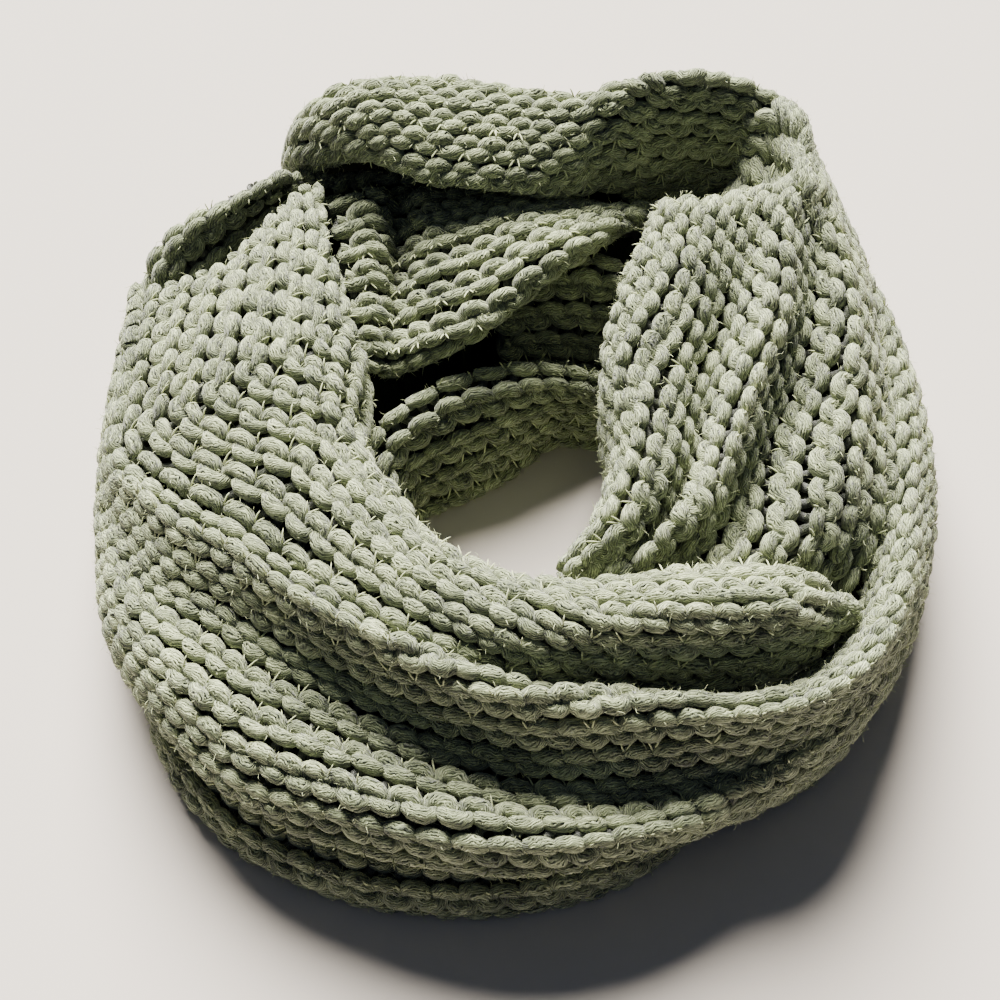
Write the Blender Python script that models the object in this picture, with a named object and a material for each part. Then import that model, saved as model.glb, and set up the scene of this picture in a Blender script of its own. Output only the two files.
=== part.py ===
"""Infinity scarf, a wide knitted loop wound twice and dropped in a ring. Sizes are in millimetres.

The ring lies on the floor with its axis upright. A place on it is given by its turn (degrees about the
axis, 0 at the right, 90 at the back), its reach (distance from the axis) and its height over the floor.
Each stretch of cloth that shows is one wall, with the knitted rows raised as ribs on its outer side. The
hidden layers between them are one rounded ring.
"""
import math

import bpy
import numpy as np
from mathutils import Vector

MM = 0.001
CENTRE_SHIFT = (-1.1, -9.3)  # moves the ring's axis so that the origin is under the middle of the box
WALL_INSIDE = 2.6  # cloth below the middle surface
WALL_OUTSIDE = 1.0  # cloth above it, between two ribs
RIB_HEIGHT = 2.2
CORE_REACH = 112.0
CORE_HEIGHT = 36.0
CORE_LIMIT = 44.0
CORE_GAP = 0.4
CORE_STATIONS = 48
CORE_SIDES = 18
CORE_SAMPLES = 6
SAGE = (0.33, 0.37, 0.24, 1.0)
SHADED_SAGE = (0.22, 0.26, 0.17, 1.0)

# These three stretches are drawn along named lines that follow the knitted rows, from the side of the hole to
# the outside. A line has a place (turn, reach, height) for each station along the stretch.
INNER_FRONT = {
    "inner_foot": [
        (121, 163, 63), (127, 134, 68), (132, 108, 68), (139, 90, 66), (145, 76, 62), (155, 66, 58),
        (169, 60, 52), (187, 60, 50), (210, 60, 50), (238, 64, 52), (260, 68, 54), (280, 74, 58),
        (298, 80, 72), (315, 92, 75), (326, 110, 74), (331, 126, 69), (333, 139, 60),
    ],
    "inner_edge": [
        (122, 165, 71), (128, 135, 77), (134, 109, 79), (141, 91, 80), (147, 79, 80), (157, 70, 78),
        (169, 66, 76), (187, 58, 76), (210, 53, 78), (238, 57, 80), (260, 61, 81), (280, 68, 82),
        (298, 76, 83), (315, 89, 83), (326, 107, 81), (331, 124, 76), (333, 138, 66),
    ],
    "inner_crest": [
        (130, 155, 76), (139, 134, 84), (152, 109, 88), (161, 98, 88), (170, 89, 88), (179, 82, 88),
        (188, 77, 87), (203, 71, 86), (221, 68, 86), (242, 71, 87), (259, 77, 88), (275, 84, 90),
        (290, 91, 91), (305, 102, 91), (318, 117, 88), (325, 131, 82), (331, 140, 66),
    ],
    "outer_crest": [
        (142, 153, 72), (152, 143, 75), (164, 129, 80), (172, 123, 80), (180, 114, 82), (188, 103, 84),
        (196, 94, 85), (210, 86, 86), (226, 82, 86), (244, 84, 86), (258, 88, 85), (271, 93, 84),
        (286, 97, 80), (302, 108, 76), (315, 124, 72), (324, 136, 68), (331, 142, 60),
    ],
    "groove": [
        (149, 181, 56), (157, 169, 60), (167, 160, 58), (175, 157, 57), (183, 142, 66), (191, 125, 74),
        (199, 111, 78), (213, 100, 80), (227, 96, 81), (244, 95, 81), (256, 95, 78), (267, 97, 73),
        (282, 101, 66), (299, 112, 58), (313, 128, 54), (323, 138, 52), (331, 143, 50),
    ],
}
OUTER_LOOP = {
    "inner_edge": [
        (149, 187, 56), (158, 171, 58), (168, 162, 56), (176, 159, 55), (184, 144, 64), (192, 127, 72),
        (200, 113, 76), (214, 103, 78), (228, 99, 79), (244, 98, 77), (256, 95, 70), (268, 98, 62),
        (283, 105, 54), (298, 116, 48), (311, 130, 45), (321, 140, 43), (330, 147, 43), (339, 148, 43),
        (350, 146, 46), (8, 151, 50), (24, 161, 50), (36, 173, 50), (46, 179, 50),
    ],
    "upper_crest": [
        (152, 182, 50), (164, 170, 53), (172, 165, 52), (178, 161, 55), (184, 150, 63), (194, 133, 73),
        (204, 118, 79), (215, 109, 82), (227, 104, 84), (242, 103, 84), (257, 105, 83), (271, 111, 81),
        (286, 117, 79), (298, 128, 77), (308, 143, 75), (317, 154, 71), (327, 159, 66), (337, 158, 62),
        (350, 156, 60), (8, 160, 58), (24, 171, 58), (36, 182, 57), (46, 187, 54),
    ],
    "valley": [
        (157, 178, 40), (170, 169, 44), (179, 164, 44), (185, 159, 47), (193, 152, 53), (201, 143, 58),
        (211, 131, 60), (220, 124, 58), (231, 119, 55), (246, 118, 52), (259, 122, 49), (273, 129, 46),
        (286, 138, 44), (297, 147, 43), (310, 154, 44), (321, 160, 47), (331, 163, 50), (341, 164, 51),
        (353, 165, 50), (8, 169, 50), (24, 177, 50), (36, 185, 50), (46, 189, 48),
    ],
    "lower_crest": [
        (162, 176, 30), (177, 169, 32), (186, 167, 34), (191, 166, 39), (198, 165, 45), (208, 161, 52),
        (217, 156, 55), (226, 151, 57), (236, 149, 58), (246, 149, 58), (258, 151, 57), (271, 154, 55),
        (282, 157, 52), (293, 158, 48), (305, 159, 45), (318, 162, 43), (331, 165, 41), (342, 166, 40),
        (355, 169, 38), (8, 173, 38), (23, 181, 36), (35, 188, 36), (46, 191, 36),
    ],
    "outer_side": [
        (168, 174, 16), (184, 169, 18), (193, 168, 18), (199, 169, 25), (206, 169, 34), (215, 168, 38),
        (223, 168, 39), (231, 167, 40), (239, 165, 40), (249, 162, 40), (259, 161, 40), (271, 161, 38),
        (282, 159, 36), (293, 158, 33), (305, 160, 28), (318, 164, 25), (331, 166, 24), (342, 168, 22),
        (355, 170, 20), (8, 174, 20), (23, 182, 18), (35, 188, 18), (46, 191, 18),
    ],
    "outer_foot": [
        (173, 168, 0), (190, 166, 0), (199, 165, 0), (205, 162, 17), (212, 160, 25), (221, 160, 26),
        (229, 160, 26), (237, 158, 26), (244, 156, 26), (252, 154, 26), (261, 152, 25), (271, 151, 24),
        (282, 150, 22), (293, 151, 18), (305, 154, 9), (318, 160, 0), (331, 162, 0), (342, 164, 0),
        (355, 167, 0), (8, 171, 0), (23, 178, 0), (35, 184, 0), (46, 187, 0),
    ],
}
RIGHT_STRETCH = {
    "inner_foot": [
        (56, 181, 34), (61, 131, 60), (60, 127, 72), (58, 112, 62), (57, 93, 52), (54, 78, 40),
        (49, 63, 30), (36, 50, 18), (15, 46, 8), (354, 45, 4), (333, 44, 4), (316, 45, 4), (303, 46, 4),
        (291, 49, 8),
    ],
    "inner_edge": [
        (56, 181, 46), (61, 131, 76), (59, 125, 95), (58, 109, 91), (57, 92, 89), (54, 78, 87),
        (49, 63, 85), (36, 50, 83), (15, 44, 80), (354, 43, 77), (333, 43, 73), (316, 46, 69),
        (303, 49, 64), (291, 51, 58),
    ],
    "inner_crest": [
        (56, 182, 58), (54, 137, 80), (53, 131, 98), (49, 113, 98), (44, 94, 97), (37, 77, 96),
        (25, 64, 95), (8, 58, 93), (350, 57, 91), (335, 58, 88), (323, 59, 84), (310, 59, 79),
        (299, 58, 72), (290, 58, 64),
    ],
    "first_crease": [
        (56, 183, 70), (51, 150, 80), (49, 144, 97), (43, 130, 91), (37, 115, 85), (30, 100, 80),
        (21, 86, 77), (10, 77, 76), (358, 72, 75), (346, 69, 74), (333, 67, 72), (319, 64, 69),
        (306, 61, 66), (295, 60, 60),
    ],
    "middle_crest": [
        (56, 184, 82), (49, 161, 82), (46, 154, 99), (39, 142, 98), (31, 126, 97), (23, 111, 96),
        (15, 99, 94), (5, 90, 92), (355, 85, 90), (345, 81, 87), (334, 77, 84), (323, 73, 79),
        (311, 69, 73), (301, 65, 64),
    ],
    "second_crease": [
        (56, 187, 94), (48, 172, 86), (44, 164, 99), (38, 157, 88), (31, 142, 81), (24, 128, 76),
        (16, 117, 73), (8, 107, 71), (359, 99, 70), (349, 93, 69), (339, 88, 67), (329, 83, 65),
        (319, 76, 63), (307, 70, 59),
    ],
    "outer_crest": [
        (56, 192, 101), (50, 182, 98), (44, 170, 101), (37, 165, 92), (29, 156, 87), (21, 147, 85),
        (12, 138, 83), (4, 132, 81), (356, 126, 80), (347, 121, 77), (338, 114, 73), (331, 106, 68),
        (323, 97, 62), (315, 86, 56),
    ],
    "outer_edge": [
        (56, 197, 90), (52, 196, 98), (46, 184, 92), (38, 178, 77), (31, 173, 68), (25, 165, 64),
        (16, 157, 64), (8, 151, 64), (1, 149, 64), (354, 147, 62), (347, 142, 58), (339, 136, 51),
        (332, 125, 46), (326, 110, 43),
    ],
    "outer_foot": [
        (56, 198, 2), (52, 197, 4), (46, 186, 64), (38, 180, 70), (31, 174, 63), (25, 166, 59),
        (16, 158, 59), (8, 152, 59), (1, 150, 59), (354, 147, 58), (347, 143, 53), (339, 137, 46),
        (332, 126, 42), (326, 111, 39),
    ],
}

# One row for each section across a stretch. The inner edge and the outer edge are each a turn, a reach and a
# height. The crown is how far the middle stands over the line between them. Past each edge the cloth drops,
# and its foot goes in towards the axis (splay_in) or out from it (splay_out).
COLUMNS = (
    "turn_in", "reach_in", "height_in", "turn_out", "reach_out", "height_out",
    "crown", "drop_in", "splay_in", "drop_out", "splay_out",
)
BACK_ROLL = [
    (123, 185, 42, 120, 199, 44, 6, 14, -2, 42, -4),
    (122, 183, 62, 118, 200, 66, 12, 14, -3, 64, -4),
    (118, 171, 77, 113, 199, 82, 12, 12, -8, 80, -6),
    (112, 155, 84, 107, 193, 90, 12, 9, -8, 88, -6),
    (105, 135, 85, 99, 187, 94, 10, 8, -8, 92, -6),
    (92, 125, 86, 90, 178, 96, 8, 8, -8, 94, 0),
    (81, 131, 84, 80, 168, 104, 5, 14, -6, 102, 10),
    (74, 149, 78, 74, 173, 111, 6, 18, -3, 110, 12),
    (68, 167, 66, 68, 182, 115, 8, 28, 0, 112, 10),
    (63, 177, 62, 63, 190, 115, 9, 28, 0, 112, 6),
    (57.6, 182, 65, 57.4, 196, 109, 9, 30, 0, 107, 2),
]
REAR_WALL = [
    (169, 160, 7, 169, 169, 7, 1, 6, 2, 7, -2),
    (163, 163, 19, 163, 174, 19, 1, 6, 2, 19, -2),
    (156, 165, 30, 156, 178, 32, 1, 6, 2, 32, -3),
    (150, 166, 42, 150, 184, 46, 1, 8, 2, 46, -4),
    (144, 165, 46, 145, 189, 66, 0, 8, 2, 66, -3),
    (139, 164, 46, 140, 185, 77, 0, 8, 2, 77, -1),
    (133, 166, 46, 134, 178, 81, 0, 8, 2, 81, 2),
    (125, 171, 45, 125, 177, 76, 0, 8, 2, 76, 2),
    (118, 171, 42, 118, 175, 62, 0, 8, 2, 62, 2),
    (108, 165, 40, 108, 171, 56, 0, 6, 4, 56, 1),
    (95, 152, 38, 95, 163, 52, 0, 6, 4, 52, 1),
    (82, 150, 34, 82, 160, 46, 0, 6, 4, 46, 1),
    (72, 150, 32, 72, 158, 42, 0, 6, 4, 42, 0),
]
CROSSING = [
    (62, 148, 59, 66, 158, 46, 3, 5, -1, 2, 0),
    (66, 137, 66, 74, 146, 49, 4, 8, -4, 2, 0),
    (70, 112, 77, 83, 142, 57, 5, 12, -6, 2, 0),
    (80, 85, 80, 93, 143, 61, 6, 16, -8, 2, 0),
    (92, 67, 76, 98, 144, 60, 6, 16, -10, 2, 0),
    (106, 61, 70, 102, 148, 58, 5, 14, -10, 2, 0),
    (122, 63, 63, 105, 152, 57, 4, 14, -10, 2, 0),
    (132, 74, 52, 109, 158, 47, -4, 12, -8, 2, 0),
    (136, 79, 54, 113, 157, 62, 4, 8, -4, 2, 0),
    (140, 84, 54, 121, 156, 61, 2, 4, -2, 2, 0),
]
INNER_BACK = [
    (46, 106, 48, 46, 116, 52, 0, 44, 22, 2, 0),
    (56, 110, 50, 56, 120, 54, 0, 46, 32, 2, 0),
    (68, 106, 52, 68, 118, 56, 0, 48, 32, 2, 0),
    (80, 98, 52, 80, 112, 56, 0, 48, 24, 2, 0),
    (94, 90, 50, 94, 106, 54, 0, 46, 16, 2, 0),
]
INNER_LEFT = [
    (48, 73, 19, 48, 80, 21, 0, 19, 3, 2, 0),
    (60, 65, 32, 60, 73, 33, 0, 32, 5, 2, 0),
    (72, 56, 40, 70, 66, 42, 0, 40, 4, 2, 0),
    (92, 46, 46, 92, 58, 48, 0, 46, 12, 2, 0),
    (126, 46, 47, 126, 58, 48, 0, 47, 18, 2, 0),
    (160, 53, 42, 160, 64, 43, 0, 42, 13, 2, 0),
    (195, 50, 40, 195, 62, 41, 0, 40, 7, 2, 0),
    (230, 54, 36, 230, 68, 37, 0, 36, 4, 2, 0),
    (258, 60, 34, 258, 72, 35, 0, 34, 2, 2, 0),
    (280, 66, 34, 280, 78, 35, 0, 34, 2, 2, 0),
]
LOWER_FRONT = [
    (206, 148, 14, 206, 162, 9, 2, 4, 2, 8, -2),
    (216, 152, 17, 216, 171, 12, 2, 4, 2, 12, -2),
    (232, 154, 18, 232, 175, 13, 3, 4, 2, 13, -2),
    (250, 148, 18, 250, 171, 13, 3, 4, 2, 13, -2),
    (268, 142, 18, 268, 165, 13, 3, 4, 2, 13, -2),
    (286, 140, 16, 286, 158, 12, 2, 4, 2, 12, -2),
    (300, 136, 14, 300, 149, 9, 2, 4, 2, 9, -2),
]
# name: lines or sections, ribs across, stations along
STRETCHES = {
    "inner_front_stretch": (INNER_FRONT, 12, 30),
    "outer_loop_stretch": (OUTER_LOOP, 17, 40),
    "right_stretch": (RIGHT_STRETCH, 20, 24),
    "back_roll_and_hood": (BACK_ROLL, 16, 20),
    "rear_wall_stretch": (REAR_WALL, 12, 20),
    "crossing_stretch": (CROSSING, 11, 14),
    "inner_back_stretch": (INNER_BACK, 9, 6),
    "inner_left_stretch": (INNER_LEFT, 9, 14),
    "lower_front_stretch": (LOWER_FRONT, 5, 14),
}


def place(turn, reach, height):
    angle = math.radians(turn)
    return np.array([reach * math.cos(angle), reach * math.sin(angle), height])


def control_points(section):
    """The five points that a section is drawn with: foot, inner edge, crown, outer edge, foot."""
    s = dict(zip(COLUMNS, section))
    inner = place(s["turn_in"], s["reach_in"], s["height_in"])
    outer = place(s["turn_out"], s["reach_out"], s["height_out"])
    across = (outer - inner) * (1, 1, 0)
    across /= np.linalg.norm(across)
    inner_foot = inner - across * s["splay_in"] - (0, 0, s["drop_in"])
    outer_foot = outer + across * s["splay_out"] - (0, 0, s["drop_out"])
    crown = (inner + outer) / 2 + (0, 0, s["crown"])
    return [inner_foot, inner, crown, outer, outer_foot]


def smooth(net, steps=10):
    """Catmull-Rom curves through the points of the first axis, from end to end."""
    padded = np.concatenate([2 * net[:1] - net[1:2], net, 2 * net[-1:] - net[-2:-1]])
    lines = []
    for i in range(len(net) - 1):
        a, b, c, d = padded[i:i + 4]
        for t in np.arange(steps) / steps:
            lines.append(b + 0.5 * t * (c - a + t * (2 * a - 5 * b + 4 * c - d + t * (3 * b - a - 3 * c + d))))
    lines.append(net[-1])
    return np.array(lines)


def round_across(net, times=3):
    """Corner cutting across the stretch, which keeps the two feet."""
    for _ in range(times):
        near = 0.75 * net[:, :-1] + 0.25 * net[:, 1:]
        far = 0.25 * net[:, :-1] + 0.75 * net[:, 1:]
        middle = np.stack([near, far], axis=2).reshape(len(net), -1, 3)
        net = np.concatenate([net[:, :1], middle, net[:, -1:]], axis=1)
    return net


def spread(line, count):
    """The same line with its points evenly spaced."""
    gone = np.concatenate([[0.0], np.cumsum(np.linalg.norm(np.diff(line, axis=0), axis=1))])
    wanted = np.linspace(0.0, gone[-1], count)
    return np.stack([np.interp(wanted, gone, line[:, k]) for k in range(3)], axis=1)


def middle_surface(table, stations, across):
    """The middle of the cloth as a grid, from a table of named lines or from one of sections."""
    if isinstance(table, dict):
        net = np.array([[place(*spot) for spot in line] for line in table.values()]).transpose(1, 0, 2)
        lines = smooth(smooth(net).transpose(1, 0, 2)).transpose(1, 0, 2)
    else:
        net = np.array([control_points(section) for section in table])
        lines = round_across(smooth(net))
    lines = np.array([spread(line, across) for line in lines])
    gone = np.linalg.norm(np.diff(lines.mean(axis=1), axis=0), axis=1)
    gone = np.concatenate([[0.0], np.cumsum(gone)])
    wanted = np.linspace(0.0, gone[-1], stations)
    surface = np.empty((stations, across, 3))
    for j in range(across):
        for k in range(3):
            surface[:, j, k] = np.interp(wanted, gone, lines[:, j, k])
    return surface


def outward(surface):
    """Unit normals, on the side that faces away from the heap."""
    normal = np.cross(np.gradient(surface, axis=0), np.gradient(surface, axis=1))
    normal /= np.linalg.norm(normal, axis=2, keepdims=True)
    top = normal[:, normal.shape[1] // 2, 2].mean()
    return normal if top > 0 else -normal


def to_model(points):
    points = np.array(points)
    points[..., 2] = np.maximum(points[..., 2], 0.0)  # the underside is flat where it rests
    return (points + (*CENTRE_SHIFT, 0.0)) * MM


def wall_faces(stations, ribs, flip):
    """Ribbed outer grid, plain inner grid with half as many points, and the rim that joins them."""
    wide = 2 * ribs + 1
    slim = ribs + 1
    start = stations * wide

    def out_at(i, j):
        return i * wide + j

    def in_at(i, j):
        return start + i * slim + j

    faces = []
    for i in range(stations - 1):
        for j in range(wide - 1):
            faces.append((out_at(i, j), out_at(i + 1, j), out_at(i + 1, j + 1), out_at(i, j + 1)))
        for j in range(slim - 1):
            faces.append((in_at(i, j), in_at(i, j + 1), in_at(i + 1, j + 1), in_at(i + 1, j)))
        faces.append((out_at(i, 0), in_at(i, 0), in_at(i + 1, 0), out_at(i + 1, 0)))
        faces.append((out_at(i, wide - 1), out_at(i + 1, wide - 1), in_at(i + 1, slim - 1),
                      in_at(i, slim - 1)))
    last = stations - 1
    for rib in range(ribs):
        j = 2 * rib
        faces.append((out_at(0, j), out_at(0, j + 1), out_at(0, j + 2), in_at(0, rib + 1), in_at(0, rib)))
        faces.append((in_at(last, rib), in_at(last, rib + 1), out_at(last, j + 2), out_at(last, j + 1),
                      out_at(last, j)))
    return [face[::-1] for face in faces] if flip else faces


def wall_grids(name):
    table, ribs, stations = STRETCHES[name]
    across = 2 * ribs + 1
    surface = middle_surface(table, stations, across)
    normal = outward(surface)
    rise = np.where(np.arange(across) % 2, WALL_OUTSIDE + RIB_HEIGHT, WALL_OUTSIDE)
    return surface + normal * rise[:, None], (surface - normal * WALL_INSIDE)[:, ::2]


def new_object(name, points, faces, colour, collection):
    mesh = bpy.data.meshes.new(name)
    mesh.from_pydata([tuple(p) for p in points], [], faces)
    mesh.validate()
    mesh.shade_smooth()
    mesh.set_sharp_from_angle(angle=math.radians(60))
    mesh.materials.append(cloth_material(name, colour))
    obj = bpy.data.objects.new(name, mesh)
    collection.objects.link(obj)
    return obj


def cloth_material(name, colour):
    material = bpy.data.materials.new(name)
    material.use_nodes = True
    shader = material.node_tree.nodes["Principled BSDF"]
    shader.inputs["Base Color"].default_value = colour
    shader.inputs["Roughness"].default_value = 0.95
    shader.inputs["Metallic"].default_value = 0.0
    return material


def signed_volume(points, faces):
    total = 0.0
    for face in faces:
        a = Vector(points[face[0]])
        for k in range(1, len(face) - 1):
            total += a.dot(Vector(points[face[k]]).cross(Vector(points[face[k + 1]])))
    return total / 6


def build_wall(name, collection):
    _, ribs, stations = STRETCHES[name]
    outer, inner = wall_grids(name)
    points = to_model(np.concatenate([outer.reshape(-1, 3), inner.reshape(-1, 3)]))
    faces = wall_faces(stations, ribs, flip=False)
    if signed_volume(points, faces) < 0:
        faces = wall_faces(stations, ribs, flip=True)
    return new_object(name, points, faces, SAGE, collection)


def face_samples(wall):
    """Points spread over a wall's faces, in millimetres from the ring's axis."""
    corners = []
    mesh = wall.data
    for polygon in mesh.polygons:
        loop = [np.array(mesh.vertices[v].co) for v in polygon.vertices]
        for k in range(1, len(loop) - 1):
            corners.append((loop[0], loop[k], loop[k + 1]))
    corners = np.array(corners) / MM - (*CENTRE_SHIFT, 0.0)
    shares = np.arange(CORE_SAMPLES + 1) / CORE_SAMPLES
    points = []
    for a in shares:
        for b in shares[shares <= 1.0 - a + 1e-9]:
            points.append(corners[:, 0] * a + corners[:, 1] * b + corners[:, 2] * (1.0 - a - b))
    return np.concatenate(points)


def build_core(walls, collection):
    """The ring of hidden layers: it fills the space under the walls, just clear of them."""
    samples = np.concatenate([face_samples(wall) for wall in walls])
    turn = np.degrees(np.arctan2(samples[:, 1], samples[:, 0])) % 360.0 * CORE_STATIONS / 360.0
    side = np.hypot(samples[:, 0], samples[:, 1]) - CORE_REACH
    rise = samples[:, 2] - CORE_HEIGHT
    tilt = np.degrees(np.arctan2(rise, side)) % 360.0 * CORE_SIDES / 360.0
    away = np.hypot(side, rise) - CORE_GAP
    room = np.full((CORE_STATIONS, CORE_SIDES), CORE_LIMIT)
    for i in (0, 1):
        for j in (0, 1):
            cell = (turn.astype(int) + i) % CORE_STATIONS, (tilt.astype(int) + j) % CORE_SIDES
            np.minimum.at(room, cell, away)
    points = []
    for i in range(CORE_STATIONS):
        for j in range(CORE_SIDES):
            tilt_here = j * 2 * math.pi / CORE_SIDES
            reach = CORE_REACH + room[i, j] * math.cos(tilt_here)
            height = CORE_HEIGHT + room[i, j] * math.sin(tilt_here)
            points.append(place(i * 360.0 / CORE_STATIONS, reach, height))
    points = to_model(np.array(points))
    faces = []
    for i in range(CORE_STATIONS):
        for j in range(CORE_SIDES):
            i2 = (i + 1) % CORE_STATIONS
            j2 = (j + 1) % CORE_SIDES
            faces.append((i * CORE_SIDES + j, i2 * CORE_SIDES + j, i2 * CORE_SIDES + j2, i * CORE_SIDES + j2))
    if signed_volume(points, faces) < 0:
        faces = [face[::-1] for face in faces]
    return new_object("hidden_layers", points, faces, SHADED_SAGE, collection)


def main():
    for obj in list(bpy.data.objects):
        bpy.data.objects.remove(obj)
    collection = bpy.data.collections.new("infinity_scarf")
    bpy.context.scene.collection.children.link(collection)
    walls = [build_wall(name, collection) for name in STRETCHES]
    build_core(walls, collection)


main()
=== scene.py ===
import math

import bpy
import numpy as np
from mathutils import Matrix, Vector
from mathutils.bvhtree import BVHTree


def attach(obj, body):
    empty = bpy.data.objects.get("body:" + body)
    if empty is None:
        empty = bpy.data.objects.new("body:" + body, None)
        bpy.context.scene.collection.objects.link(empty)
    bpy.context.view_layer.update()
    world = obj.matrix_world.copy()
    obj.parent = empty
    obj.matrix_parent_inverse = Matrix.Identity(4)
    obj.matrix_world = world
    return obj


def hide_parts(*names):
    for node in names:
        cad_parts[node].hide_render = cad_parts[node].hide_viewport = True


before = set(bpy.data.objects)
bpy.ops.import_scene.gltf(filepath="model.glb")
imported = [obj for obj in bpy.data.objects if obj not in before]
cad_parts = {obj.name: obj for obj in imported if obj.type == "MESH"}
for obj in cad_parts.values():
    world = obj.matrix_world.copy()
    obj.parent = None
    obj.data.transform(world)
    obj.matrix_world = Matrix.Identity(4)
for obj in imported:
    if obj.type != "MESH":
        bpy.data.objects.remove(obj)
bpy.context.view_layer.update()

# Lengths are in millimetres until a mesh is made. A place on the ring is a turn (degrees round its axis,
# 0 at the right, 90 at the back), a reach from the axis and a height over the floor.
mm = 0.001
ringShift = (-1.1, -9.3)
turnSteps = 10  # points from one station of a stretch to the next
cornerCuts = 3  # how often a section's corners are cut off, to round it

sectionColumns = (
    "turnIn", "reachIn", "heightIn", "turnOut", "reachOut", "heightOut",
    "crown", "dropIn", "splayIn", "dropOut", "splayOut",
)

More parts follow.
